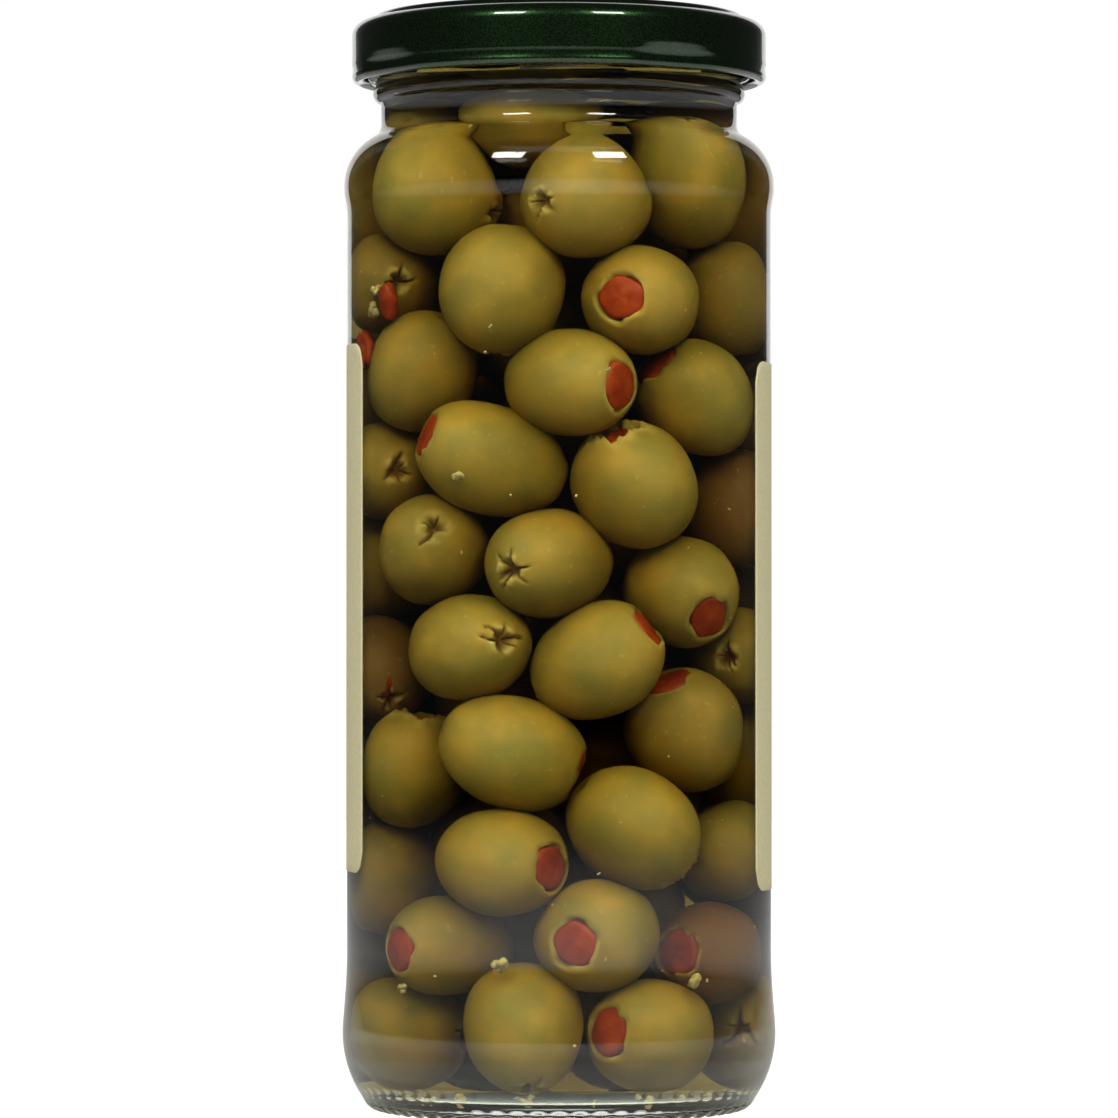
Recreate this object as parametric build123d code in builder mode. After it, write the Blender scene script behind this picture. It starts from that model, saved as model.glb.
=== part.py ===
from build123d import *
import math
import os

# A pint-size glass jar of stuffed olives in brine, shut with a 63 mm lug lid.
# Millimetres, +Z up, origin at the middle of the base, label turned to the back (+Y).

# ---- Jar: overall sizes ----
jar_height = 173.2
body_radius = 33.92
wall = 2.4
inside_heel = 6.0
floor_thickness = 3.6
floor_dome = 1.4
floor_dome_flat = 9.0

# ---- Jar: heel and bearing ring ----
knurl_count = 60
knurl_height = 0.4
knurl_length = 3.4
knurl_width = 1.5
knurl_root = 1.3
knurl_taper = 15.0
ring_corner = 2.2
heel_arc = 18.2
heel_angle = 37.0
heel_projection = 0.72
heel_lean = 4.5
heel_blend = 89.0
ring_inner_angle = 50.0
punt_height = 2.5
punt_flat = 9.0

# ---- Jar: shoulder and neck ----
bump_projection = 0.5
bump_rise = 5.0
shoulder_slope = 62.0
neck_fillet = 2.3
neck_length = 3.4
neck_wall = 2.4

# ---- Jar: finish that the lid grips ----
finish_radius = 29.4
finish_height = 11.0
neck_step = 0.9
bead_projection = 0.4
bead_arc = 1.5
rim_corner = 1.1
thread_count = 4
thread_projection = 1.5
thread_arc = 1.25
thread_span = 95.0
thread_drop = 3.4
thread_low_above_lug = 0.1
thread_low_angle = -101.0

# ---- Lid ----
sheet = 0.25
compound_thickness = 0.7
compound_width = 4.2
panel_rise = 0.6
panel_edge_width = 1.4
panel_edge_inset = 2.9
lid_corner = 2.4
curl_radius = 1.0
lid_depth = 10.8
thread_clearance = 0.3
lug_width = 10.0
lug_height = 0.9
lug_clearance = 0.35
lug_lift = 0.05
lug_angle = -56.0
dent_depth = 0.25
dent_height = 1.8

# ---- Contents ----
headspace = 7.0

# ---- Label ----
label_thickness = 0.12
label_height = 83.8
label_middle = 78.5
label_wrap = 230.0
label_lean = 2.54
label_corner = 3.5

# ---- Radii that follow from the sizes above ----
inside_radius = body_radius - wall
heel_radius = body_radius + heel_projection
ring_radius = heel_radius - heel_arc + (heel_arc - ring_corner) * math.cos(math.radians(heel_angle))
bump_radius = body_radius + bump_projection
neck_radius = finish_radius - neck_step
bore_radius = neck_radius - neck_wall
bead_radius = finish_radius + bead_projection
thread_radius = finish_radius + thread_projection
skirt_radius = thread_radius + thread_clearance + 2 * curl_radius

# ---- Heights that follow ----
ring_centre = knurl_height + ring_corner
heel_centre = ring_centre + (heel_arc - ring_corner) * math.sin(math.radians(heel_angle))
bead_middle = jar_height - finish_height
bead_bottom_angle = -math.degrees(math.acos((neck_radius - bead_radius + bead_arc) / bead_arc))
bead_top_angle = math.degrees(math.acos((finish_radius - bead_radius + bead_arc) / bead_arc))
shoulder_top = bead_middle + bead_arc * math.sin(math.radians(bead_bottom_angle)) - neck_length
shoulder_cos = 1 - math.cos(math.radians(shoulder_slope))
shoulder_sin = math.sin(math.radians(shoulder_slope))
shoulder_arc = (bump_radius - neck_radius) / shoulder_cos - neck_fillet
shoulder_bottom = shoulder_top - (shoulder_arc + neck_fillet) * shoulder_sin
inside_fillet = neck_fillet + wall
inside_arc = (inside_radius - bore_radius) / shoulder_cos - inside_fillet
inside_shoulder_top = shoulder_bottom + (inside_arc + inside_fillet) * shoulder_sin
fill_level = jar_height - headspace
panel_underside = jar_height + compound_thickness + panel_rise
panel_top = panel_underside + sheet
channel_top = panel_top - panel_rise
lid_bottom = panel_top - lid_depth
curl_middle = lid_bottom + curl_radius
lug_bottom = lid_bottom + lug_lift


def on_arc(centre, radius, angle):
    """The point of an arc at an angle from the radial direction."""
    x = centre[0] + radius * math.cos(math.radians(angle))
    z = centre[1] + radius * math.sin(math.radians(angle))
    return (x, z)


def draw_arc(centre, radius, first, last):
    """One circular stretch of a profile."""
    start = on_arc(centre, radius, first)
    middle = on_arc(centre, radius, (first + last) / 2)
    end = on_arc(centre, radius, last)
    ThreePointArc(start, middle, end)
    return start, end


def draw_inside(top):
    """The inside surface of the jar, from the middle of the floor up its bore to a height."""
    corner = (inside_radius - inside_heel, floor_thickness + inside_heel)
    heel_foot, heel_top = draw_arc(corner, inside_heel, -90, 0)
    floor_middle = (0, floor_thickness + floor_dome)
    Bezier(floor_middle, (floor_dome_flat, floor_middle[1]), (heel_foot[0] - floor_dome_flat, heel_foot[1]), heel_foot)
    arc_foot, arc_top = draw_arc((inside_radius - inside_arc, shoulder_bottom), inside_arc, 0, shoulder_slope)
    Line(heel_top, arc_foot)
    bore = (bore_radius + inside_fillet, inside_shoulder_top)
    draw_arc(bore, inside_fillet, 180 + shoulder_slope, 180)
    Line((bore_radius, inside_shoulder_top), (bore_radius, top))
    return floor_middle


# Glass jar: a lathe-turned wall with its heel, body recess, shoulder, neck, bead and rim
with BuildPart() as jar:
    with BuildSketch(Plane.XZ):
        with BuildLine():
            floor_middle = draw_inside(jar_height - rim_corner)
            rim_inner = (bore_radius + rim_corner, jar_height - rim_corner)
            rim_outer = (finish_radius - rim_corner, jar_height - rim_corner)
            draw_arc(rim_inner, rim_corner, 180, 90)
            Line((rim_inner[0], jar_height), (rim_outer[0], jar_height))
            draw_arc(rim_outer, rim_corner, 90, 0)
            bead_centre = (bead_radius - bead_arc, bead_middle)
            bead_foot, bead_top = draw_arc(bead_centre, bead_arc, bead_bottom_angle, bead_top_angle)
            Line((finish_radius, jar_height - rim_corner), bead_top)
            Line(bead_foot, (neck_radius, shoulder_top))
            draw_arc((neck_radius + neck_fillet, shoulder_top), neck_fillet, 180, 180 + shoulder_slope)
            draw_arc((bump_radius - shoulder_arc, shoulder_bottom), shoulder_arc, shoulder_slope, 0)
            bump_foot = shoulder_bottom - bump_rise
            Bezier(
                (bump_radius, shoulder_bottom),
                (bump_radius, shoulder_bottom - bump_rise / 2),
                (body_radius, bump_foot + bump_rise / 2),
                (body_radius, bump_foot),
            )
            heel_middle = (heel_radius - heel_arc, heel_centre)
            ring_middle = (ring_radius, ring_centre)
            heel_foot, heel_top = draw_arc(heel_middle, heel_arc, -heel_angle, heel_lean)
            lean_cos = 1 - math.cos(math.radians(heel_lean))
            lean_sin = math.sin(math.radians(heel_lean))
            lean_length = (heel_projection - (heel_arc + heel_blend) * lean_cos) / lean_sin
            lean_rise = lean_length * math.cos(math.radians(heel_lean))
            blend_top = heel_top[1] + lean_rise + heel_blend * lean_sin
            blend_centre = (body_radius + heel_blend, blend_top)
            blend_foot, blend_end = draw_arc(blend_centre, heel_blend, 180 + heel_lean, 180)
            Line(heel_top, blend_foot)
            Line(blend_end, (body_radius, bump_foot))
            ring_foot, ring_top = draw_arc(ring_middle, ring_corner, -90 - ring_inner_angle, -heel_angle)
            Bezier(
                ring_foot,
                (ring_foot[0] - ring_corner / 2, punt_height - ring_corner / 4),
                (punt_flat, punt_height),
                (0, punt_height),
            )
            Line((0, punt_height), floor_middle)
        make_face()
    revolve(axis=Axis.Z)
    # Knurls: short radial pads under the bearing ring, on which the jar stands
    with BuildSketch(Plane.XY):
        with PolarLocations(ring_radius, knurl_count):
            SlotOverall(knurl_length, knurl_width)
    extrude(amount=knurl_height + knurl_root, taper=-knurl_taper)
    # Threads: four ridges that climb round the finish, each with a rounded end
    thread_ring = thread_radius - thread_arc
    thread_low = lug_bottom + lug_height + thread_low_above_lug
    half_span = thread_span / 2
    thread_tilt = math.degrees(math.asin(thread_drop / 2 / (thread_ring * math.sin(math.radians(half_span)))))
    thread_middle = Location((0, 0, thread_low + thread_drop / 2), (thread_tilt, 0, 0))
    with PolarLocations(0, thread_count, start_angle=thread_low_angle + half_span):
        with Locations(thread_middle):
            Torus(thread_ring, thread_arc, major_angle=thread_span, rotation=(0, 0, -half_span), align=None)
            with PolarLocations(thread_ring, 2, start_angle=-half_span, angular_range=2 * thread_span):
                Sphere(thread_arc)

# Lid: one drawn sheet with a raised panel, its sealing compound, a rolled curl and four lugs
with BuildPart() as lid:
    with BuildSketch(Plane.XZ):
        with BuildLine():
            edge_end = skirt_radius - panel_edge_inset
            edge_start = edge_end - panel_edge_width
            edge_middle = (edge_start + edge_end) / 2
            corner_middle = (skirt_radius - lid_corner, channel_top - lid_corner)
            for drop, corner in ((0, lid_corner), (sheet, lid_corner - sheet)):
                Line((0, panel_top - drop), (edge_start, panel_top - drop))
                Bezier(
                    (edge_start, panel_top - drop),
                    (edge_middle, panel_top - drop),
                    (edge_middle, channel_top - drop),
                    (edge_end, channel_top - drop),
                )
                Line((edge_end, channel_top - drop), (corner_middle[0], channel_top - drop))
                draw_arc(corner_middle, corner, 90, 0)
                Line((skirt_radius - drop, corner_middle[1]), (skirt_radius - drop, curl_middle))
            Line((0, panel_top), (0, panel_top - sheet))
            Line((skirt_radius, curl_middle), (skirt_radius - sheet, curl_middle))
        make_face()
        with Locations((skirt_radius - curl_radius, curl_middle)):
            Circle(curl_radius)
        with BuildLine():
            seal_inner = finish_radius - rim_corner - compound_width / 4
            seal_outer = seal_inner + compound_width
            Polyline(
                (seal_inner, jar_height),
                (seal_outer, jar_height),
                (seal_outer, channel_top - sheet / 2),
                (edge_end, channel_top - sheet / 2),
                (edge_start, panel_top - sheet / 2),
                (seal_inner, panel_top - sheet / 2),
                close=True,
            )
        make_face()
    revolve(axis=Axis.Z)
    # Lugs: tabs that reach in from the curl and hook under the threads
    lug_inner = finish_radius + lug_clearance
    lug_outer = skirt_radius - curl_radius
    with BuildSketch(Plane.XY.offset(lug_bottom)):
        with PolarLocations((lug_inner + lug_outer) / 2, thread_count, start_angle=lug_angle):
            Rectangle(lug_outer - lug_inner, lug_width)
    extrude(amount=lug_height)
    # Dents: the flats that pressing the lugs leaves in the outside of the curl
    with BuildSketch(Plane.XY.offset(lid_bottom)):
        with PolarLocations(skirt_radius - dent_depth + curl_radius, thread_count, start_angle=lug_angle):
            Rectangle(2 * curl_radius, 2 * lug_width)
    extrude(amount=dent_height, mode=Mode.SUBTRACT)

# Contents: the olives and their brine as one body that fills the glass up to its level
with BuildPart() as olives_in_brine:
    with BuildSketch(Plane.XZ):
        with BuildLine():
            floor_middle = draw_inside(fill_level)
            Polyline((bore_radius, fill_level), (0, fill_level), floor_middle)
        make_face()
    revolve(axis=Axis.Z)

# Label: one sheet of paper round the back of the body, put on a little askew
with BuildPart() as label:
    with BuildSketch(Plane.XY):
        Circle(body_radius + label_thickness)
        Circle(body_radius, mode=Mode.SUBTRACT)
    extrude(amount=2 * label_height)
    label_plane = Plane(Location((0, 0, label_middle), (0, label_lean, 0)))
    with BuildSketch(label_plane.offset(-label_height / 2)):
        with BuildLine():
            reach = 2 * body_radius
            first = on_arc((0, 0), reach, 90 - label_wrap / 2)
            far = on_arc((0, 0), reach, 90)
            last = on_arc((0, 0), reach, 90 + label_wrap / 2)
            ThreePointArc(first, far, last)
            Polyline(last, (0, 0), first)
        make_face()
    extrude(amount=label_height, mode=Mode.INTERSECT)
    # The four corners are cut round
    for end, inward in ((90 - label_wrap / 2, 1), (90 + label_wrap / 2, -1)):
        outward = Location((0, 0, 0), (0, 0, end)) * Location((0, 0, 0), (0, 90, 0))
        with BuildSketch(Plane(label_plane.location * outward)):
            with Locations((0, inward * label_corner / 2)):
                Rectangle(label_height + 2 * label_corner, label_corner)
            with Locations((0, inward * 2 * label_corner)):
                RectangleRounded(label_height, 4 * label_corner, label_corner, mode=Mode.SUBTRACT)
        extrude(amount=2 * body_radius, mode=Mode.SUBTRACT)

jar.part.label = "jar"
lid.part.label = "lid"
olives_in_brine.part.label = "olives_in_brine"
label.part.label = "label"

os.makedirs("parts", exist_ok=True)
export_step(jar.part, "parts/jar.step")
export_step(lid.part, "parts/lid.step")
export_step(olives_in_brine.part, "parts/olives_in_brine.step")
export_step(label.part, "parts/label.step")

print("ring radius", round(ring_radius, 2), "skirt radius", round(skirt_radius, 2))
print("shoulder", round(shoulder_bottom, 2), round(shoulder_top, 2), "bead", round(bead_middle, 2))
print("lid", round(lid_bottom, 2), round(panel_top, 2), "fill", round(fill_level, 2))
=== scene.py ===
import math

import bpy
import numpy as np
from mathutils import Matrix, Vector


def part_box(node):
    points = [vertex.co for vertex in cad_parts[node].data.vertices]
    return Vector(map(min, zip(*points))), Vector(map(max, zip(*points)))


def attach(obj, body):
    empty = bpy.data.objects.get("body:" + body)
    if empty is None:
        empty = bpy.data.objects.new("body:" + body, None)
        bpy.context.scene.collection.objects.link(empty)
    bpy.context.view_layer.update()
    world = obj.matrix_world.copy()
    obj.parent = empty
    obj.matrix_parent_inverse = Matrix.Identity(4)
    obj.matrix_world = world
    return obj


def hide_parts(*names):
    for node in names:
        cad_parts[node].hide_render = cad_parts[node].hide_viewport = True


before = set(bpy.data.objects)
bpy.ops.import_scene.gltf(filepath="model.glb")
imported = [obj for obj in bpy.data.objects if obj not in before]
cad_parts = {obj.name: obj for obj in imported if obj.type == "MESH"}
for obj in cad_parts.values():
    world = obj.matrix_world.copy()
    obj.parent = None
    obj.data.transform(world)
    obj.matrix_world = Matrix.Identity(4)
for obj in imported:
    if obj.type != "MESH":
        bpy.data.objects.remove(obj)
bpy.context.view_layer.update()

MM = 0.001
rng = np.random.default_rng(7)

# ---- Sizes of the jar, in mm, as the frame has them ----
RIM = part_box("jar")[1][2] / MM
LID_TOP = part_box("lid")[1][2] / MM
LID_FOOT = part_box("lid")[0][2] / MM
BRINE_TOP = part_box("olives_in_brine")[1][2] / MM
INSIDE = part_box("olives_in_brine")[1][0] / MM
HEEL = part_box("jar")[1][0] / MM
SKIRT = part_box("lid")[1][0] / MM

# ---- Sizes of the jar, in mm, that the frame's boxes don't give ----
WALL = 2.4
BODY = INSIDE + WALL
FLOOR = 3.6
FLOOR_DOME = 1.4
INSIDE_HEEL = 6.0
BORE = 26.1
NECK = 28.5
NECK_HEIGHT = 3.4
NECK_FILLET = 2.3
FINISH = 29.4
BEAD = 29.8
BEAD_ARC = 1.5
BEAD_MIDDLE = RIM - 11.0
BEAD_HALF_HEIGHT = math.sqrt(BEAD_ARC ** 2 - (BEAD_ARC - BEAD + NECK) ** 2)
BUMP = 34.42
SLOPE = 62.0
SHOULDER_TOP = BEAD_MIDDLE - BEAD_HALF_HEIGHT - NECK_HEIGHT
SHOULDER_ARC = (BUMP - NECK) / (1 - math.cos(math.radians(SLOPE))) - NECK_FILLET
SHOULDER_FOOT = SHOULDER_TOP - (SHOULDER_ARC + NECK_FILLET) * math.sin(math.radians(SLOPE))
KNURLS = 60
THREAD_START, THREAD_SPAN, THREAD_DROP = -101.0, 95.0, 3.4
THREAD_RISE, THREAD_ARC, THREAD_OUT = 2.8, 1.25, 1.5
LUG_START = -146.0


# ---- Small helpers ----
def arc(cx, cz, radius, first, last, steps):
    """Points along a circular stretch of a profile, angles in degrees from the radial direction."""
    turn = np.radians(np.linspace(first, last, steps))
    return [(cx + radius * math.cos(t), cz + radius * math.sin(t)) for t in turn]


def bezier(a, b, c, d, steps):
    """Points along a cubic curve through its two end points."""
    points = []
    for t in np.linspace(0, 1, steps):
        s = 1 - t
        w = (s * s * s, 3 * s * s * t, 3 * s * t * t, t * t * t)
        points.append(tuple(sum(k * p[i] for k, p in zip(w, (a, b, c, d))) for i in (0, 1)))
    return points


def make_mesh(name, verts, faces, smooth=True):
    """A mesh object from points in mm and faces."""
    mesh = bpy.data.meshes.new(name)
    mesh.from_pydata([tuple(v) for v in np.asarray(verts) * MM], [], faces)
    mesh.validate()
    mesh.polygons.foreach_set("use_smooth", [smooth] * len(mesh.polygons))
    mesh.update()
    piece = bpy.data.objects.new(name, mesh)
    bpy.context.scene.collection.objects.link(piece)
    return piece


def clean(profile):
    """The profile without points that repeat."""
    kept = [profile[0]]
    for p in profile[1:]:
        if math.dist(p, kept[-1]) > 1e-4:
            kept.append(p)
    return kept


def ring_faces(rings, segments):
    """The four-sided faces between rings of points that follow one another."""
    faces = []
    for k in range(rings - 1):
        low, high = k * segments, (k + 1) * segments
        for i in range(segments):
            j = (i + 1) % segments
            faces.append((low + i, low + j, high + j, high + i))
    return faces


def lathe(profile, segments, reshape=None):
    """Turns an outline that starts and ends on the axis into a closed surface."""
    outline = clean(profile)
    ring_points = outline[1:-1]
    turn = np.linspace(0, 2 * math.pi, segments, endpoint=False)
    verts = []
    for r, z in ring_points:
        ring = np.stack([r * np.cos(turn), r * np.sin(turn), np.full(segments, z)], 1)
        verts.append(ring if reshape is None else reshape(ring, turn, r, z))
    verts = list(np.concatenate(verts))
    faces = ring_faces(len(ring_points), segments)
    first, last = len(verts), len(verts) + 1
    verts.append((0, 0, outline[0][1]))
    verts.append((0, 0, outline[-1][1]))
    top = (len(ring_points) - 1) * segments
    for i in range(segments):
        j = (i + 1) % segments
        faces.append((first, j, i))
        faces.append((last, top + i, top + j))
    return verts, faces


def linear(code):
    """An sRGB hex colour as linear RGBA."""
    parts = [int(code[i:i + 2], 16) / 255 for i in (1, 3, 5)]
    return tuple(c / 12.92 if c <= 0.04045 else ((c + 0.055) / 1.055) ** 2.4 for c in parts) + (1.0,)


def add(tree, kind, links=(), **settings):
    """Adds a node, sets its inputs and properties by name, and links what feeds it."""
    node = tree.nodes.new(kind)
    for key, value in settings.items():
        if hasattr(node, key):
            setattr(node, key, value)
        else:
            node.inputs[key.replace("_", " ")].default_value = value
    for socket, source in dict(links).items():
        tree.links.new(source, node.inputs[socket])
    return node


def new_material(name):
    """An empty node material and its output."""
    material = bpy.data.materials.new(name)
    material.use_nodes = True
    material.node_tree.nodes.clear()
    return material, material.node_tree, material.node_tree.nodes.new("ShaderNodeOutputMaterial")


# ---- Materials ----
GLASS_IOR, BRINE_IOR = 1.52, 1.34
GLASS_TINT, BRINE_TINT = "#f6fcf8", "#fffdf6"
# Each face is reckoned against air, so where glass and brine touch only this much of the mirror stays
WETTED_MIRROR = 0.15
BRINE_SOAK = ((0.64, 0.55, 0.2, 1), 92.0)


def clear_body(name, ior, tint, mirror, volume=None):
    """A clear body that refracts what is seen through it and lets the lamps reach what is inside."""
    material, tree, out = new_material(name)
    body = add(tree, "ShaderNodeBsdfPrincipled", IOR=ior, Roughness=0.0, Base_Color=tint)
    body.inputs["Transmission Weight"].default_value = 1.0
    body.inputs["Specular Tint"].default_value = (mirror, mirror, mirror, 1)
    through = add(tree, "ShaderNodeBsdfTransparent", Color=tint)
    path = add(tree, "ShaderNodeLightPath")
    mix = add(tree, "ShaderNodeMixShader", {0: path.outputs["Is Shadow Ray"], 1: body.outputs[0],
                                            2: through.outputs[0]})
    tree.links.new(mix.outputs[0], out.inputs["Surface"])
    if volume:
        colour, density = volume
        soak = add(tree, "ShaderNodeVolumeAbsorption", Color=colour, Density=density)
        tree.links.new(soak.outputs[0], out.inputs["Volume"])
    return material


def soda_lime_glass():
    """Flint container glass, blown in a mould: colourless, with a breath of aqua."""
    return clear_body("soda_lime_glass", GLASS_IOR, linear(GLASS_TINT), 1.0)


def wetted_glass():
    """The same glass where brine wets it, which takes nearly all of its reflection away."""
    return clear_body("wetted_glass", GLASS_IOR, linear(GLASS_TINT), WETTED_MIRROR)


def olive_brine():
    """Salt water that olives have steeped in: yellow-brown, and darker with depth."""
    return clear_body("olive_brine", BRINE_IOR, linear(BRINE_TINT), WETTED_MIRROR, BRINE_SOAK)


def olive_skin():
    """Cured green olive: a dull waxy skin, khaki with browner patches, pale flesh where it is cut.

    The marks of each point say how much painted shade darkens its sunken slits, holes and dimples (red),
    bare flesh (green) and browned (blue).
    """
    material, tree, out = new_material("cured_olive_skin")
    place = add(tree, "ShaderNodeTexCoord")
    marks = add(tree, "ShaderNodeAttribute", attribute_name="marks")
    split = add(tree, "ShaderNodeSeparateColor", {"Color": marks.outputs["Color"]})
    # Patches some 8 mm across, a few to each olive, and specks about a millimetre apart
    clouds = add(tree, "ShaderNodeTexNoise", {"Vector": place.outputs["Object"]},
                Scale=1 / (7.69 * MM), Detail=3.0)
    pores = add(tree, "ShaderNodeTexNoise", {"Vector": place.outputs["Object"]},
                Scale=1 / (1.11 * MM), Detail=2.0)
    skin = add(tree, "ShaderNodeValToRGB", {"Fac": clouds.outputs["Fac"]})
    skin.color_ramp.elements[0].position = 0.36
    skin.color_ramp.elements[0].color = linear("#7d6b2a")
    skin.color_ramp.elements[1].position = 0.66
    skin.color_ramp.elements[1].color = linear("#98772b")
    brown = add(tree, "ShaderNodeMix", {"Factor": split.outputs["Blue"]}, data_type="RGBA")
    tree.links.new(skin.outputs["Color"], brown.inputs["A"])
    brown.inputs["B"].default_value = linear("#633d1e")
    speck = add(tree, "ShaderNodeMapRange", {"Value": pores.outputs["Fac"]})
    speck.inputs["From Min"].default_value = 0.66
    speck.inputs["From Max"].default_value = 0.76
    speck.inputs["To Max"].default_value = 0.3
    dotted = add(tree, "ShaderNodeMix", {"Factor": speck.outputs[0]}, data_type="RGBA")
    tree.links.new(brown.outputs["Result"], dotted.inputs["A"])
    dotted.inputs["B"].default_value = linear("#b09a56")
    flesh = add(tree, "ShaderNodeMix", {"Factor": split.outputs["Green"]}, data_type="RGBA")
    tree.links.new(dotted.outputs["Result"], flesh.inputs["A"])
    flesh.inputs["B"].default_value = linear("#b39a52")
    # Red mark: painted shade, a dark brown laid into the sunken slits, holes and dimples of the ends
    cut = add(tree, "ShaderNodeMix", {"Factor": split.outputs["Red"]}, data_type="RGBA")
    tree.links.new(flesh.outputs["Result"], cut.inputs["A"])
    cut.inputs["B"].default_value = linear("#4a2410")
    bump = add(tree, "ShaderNodeBump", {"Height": pores.outputs["Fac"]}, Strength=0.12, Distance=0.0002)
    body = add(tree, "ShaderNodeBsdfPrincipled", {"Base Color": cut.outputs["Result"],
                                                 "Normal": bump.outputs[0]})
    body.inputs["Roughness"].default_value = 0.55
    body.inputs["Specular IOR Level"].default_value = 0.12
    body.inputs["Subsurface Weight"].default_value = 0.25
    body.inputs["Subsurface Radius"].default_value = (1.0, 0.6, 0.2)
    body.inputs["Subsurface Scale"].default_value = 0.0025
    tree.links.new(body.outputs[0], out.inputs["Surface"])
    return material


def pimiento():
    """Pressed pimiento strip: a wet, smooth red-orange jelly."""
    material, tree, out = new_material("pressed_pimiento")
    place = add(tree, "ShaderNodeTexCoord")
    # Mottling of about 3 mm, as in pressed jelly
    clouds = add(tree, "ShaderNodeTexNoise", {"Vector": place.outputs["Object"]},
                Scale=1 / (2.86 * MM), Detail=3.0)
    red = add(tree, "ShaderNodeValToRGB", {"Fac": clouds.outputs["Fac"]})
    red.color_ramp.elements[0].position = 0.35
    red.color_ramp.elements[0].color = linear("#7c2106")
    red.color_ramp.elements[1].position = 0.7
    red.color_ramp.elements[1].color = linear("#a23c10")
    bump = add(tree, "ShaderNodeBump", {"Height": clouds.outputs["Fac"]}, Strength=0.2, Distance=0.0003)
    body = add(tree, "ShaderNodeBsdfPrincipled", {"Base Color": red.outputs["Color"],
                                                 "Normal": bump.outputs[0]})
    body.inputs["Roughness"].default_value = 0.4
    body.inputs["Specular IOR Level"].default_value = 0.15
    tree.links.new(body.outputs[0], out.inputs["Surface"])
    return material


def olive_crumb():
    """Torn olive flesh: pale, matt and fibrous."""
    material, tree, out = new_material("olive_flesh")
    place = add(tree, "ShaderNodeTexCoord")
    # Fibres of a millimetre or so
    clouds = add(tree, "ShaderNodeTexNoise", {"Vector": place.outputs["Object"]},
                Scale=1 / (1.43 * MM), Detail=3.0)
    pale = add(tree, "ShaderNodeValToRGB", {"Fac": clouds.outputs["Fac"]})
    pale.color_ramp.elements[0].color = linear("#8d7743")
    pale.color_ramp.elements[1].color = linear("#c2ad74")
    body = add(tree, "ShaderNodeBsdfPrincipled", {"Base Color": pale.outputs["Color"]}, Roughness=0.8)
    body.inputs["Specular IOR Level"].default_value = 0.1
    tree.links.new(body.outputs[0], out.inputs["Surface"])
    return material


def lacquered_tinplate():
    """Tinplate under a dark green see-through lacquer: metal flake in its depth, a clear gloss on top."""
    material, tree, out = new_material("lacquered_tinplate")
    place = add(tree, "ShaderNodeTexCoord")
    # Flakes of a quarter millimetre, coarser than real ones, so that they show
    flake = add(tree, "ShaderNodeTexNoise", {"Vector": place.outputs["Object"]},
                Scale=1 / (0.25 * MM), Detail=1.0)
    green = add(tree, "ShaderNodeValToRGB", {"Fac": flake.outputs["Fac"]})
    green.color_ramp.elements[0].position = 0.3
    green.color_ramp.elements[0].color = linear("#0c1c0e")
    green.color_ramp.elements[1].position = 0.75
    green.color_ramp.elements[1].color = linear("#2a4a22")
    body = add(tree, "ShaderNodeBsdfPrincipled", {"Base Color": green.outputs["Color"]},
               Metallic=0.9, Roughness=0.28)
    body.inputs["Coat Weight"].default_value = 1.0
    body.inputs["Coat Roughness"].default_value = 0.04
    tree.links.new(body.outputs[0], out.inputs["Surface"])
    return material


def uncoated_paper():
    """Cream uncoated paper: matt, with faint fibres in it."""
    material, tree, out = new_material("uncoated_paper")
    place = add(tree, "ShaderNodeTexCoord")
    # Fibres two thirds of a millimetre apart, coarser than real ones, so that they show
    fibre = add(tree, "ShaderNodeTexNoise", {"Vector": place.outputs["Object"]},
                Scale=1 / (0.667 * MM), Detail=3.0)
    cream = add(tree, "ShaderNodeValToRGB", {"Fac": fibre.outputs["Fac"]})
    cream.color_ramp.elements[0].position = 0.3
    cream.color_ramp.elements[0].color = linear("#cbc294")
    cream.color_ramp.elements[1].position = 0.7
    cream.color_ramp.elements[1].color = linear("#d6cda4")
    bump = add(tree, "ShaderNodeBump", {"Height": fibre.outputs["Fac"]}, Strength=0.08, Distance=0.0001)
    body = add(tree, "ShaderNodeBsdfPrincipled", {"Base Color": cream.outputs["Color"],
                                                 "Normal": bump.outputs[0]})
    body.inputs["Roughness"].default_value = 0.75
    tree.links.new(body.outputs[0], out.inputs["Surface"])
    return material


# ---- Jar ----
def inside_profile(top, grow):
    """The inside surface from the middle of the floor up, moved into the glass by grow."""
    shoulder_sin = math.sin(math.radians(SLOPE))
    shoulder_cos = 1 - math.cos(math.radians(SLOPE))
    fillet = NECK_FILLET + WALL
    bend = (INSIDE - BORE) / shoulder_cos - fillet
    foot = SHOULDER_FOOT
    head = foot + (bend + fillet) * shoulder_sin
    corner = (INSIDE - INSIDE_HEEL, FLOOR + INSIDE_HEEL)
    low = FLOOR - grow
    dome = low + FLOOR_DOME
    points = bezier((0, dome), (9, dome), (corner[0] - 9, low), (corner[0], low), 24)
    points += arc(corner[0], corner[1], INSIDE_HEEL + grow, -90, 0, 20)
    points += [(INSIDE + grow, z) for z in np.linspace(corner[1], foot, 50)]
    points += arc(INSIDE - bend, foot, bend + grow, 0, SLOPE, 14)
    points += arc(BORE + fillet, head, fillet - grow, 180 + SLOPE, 180, 12)
    points += [(BORE + grow, z) for z in np.linspace(head, top, 8)]
    return points


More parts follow.
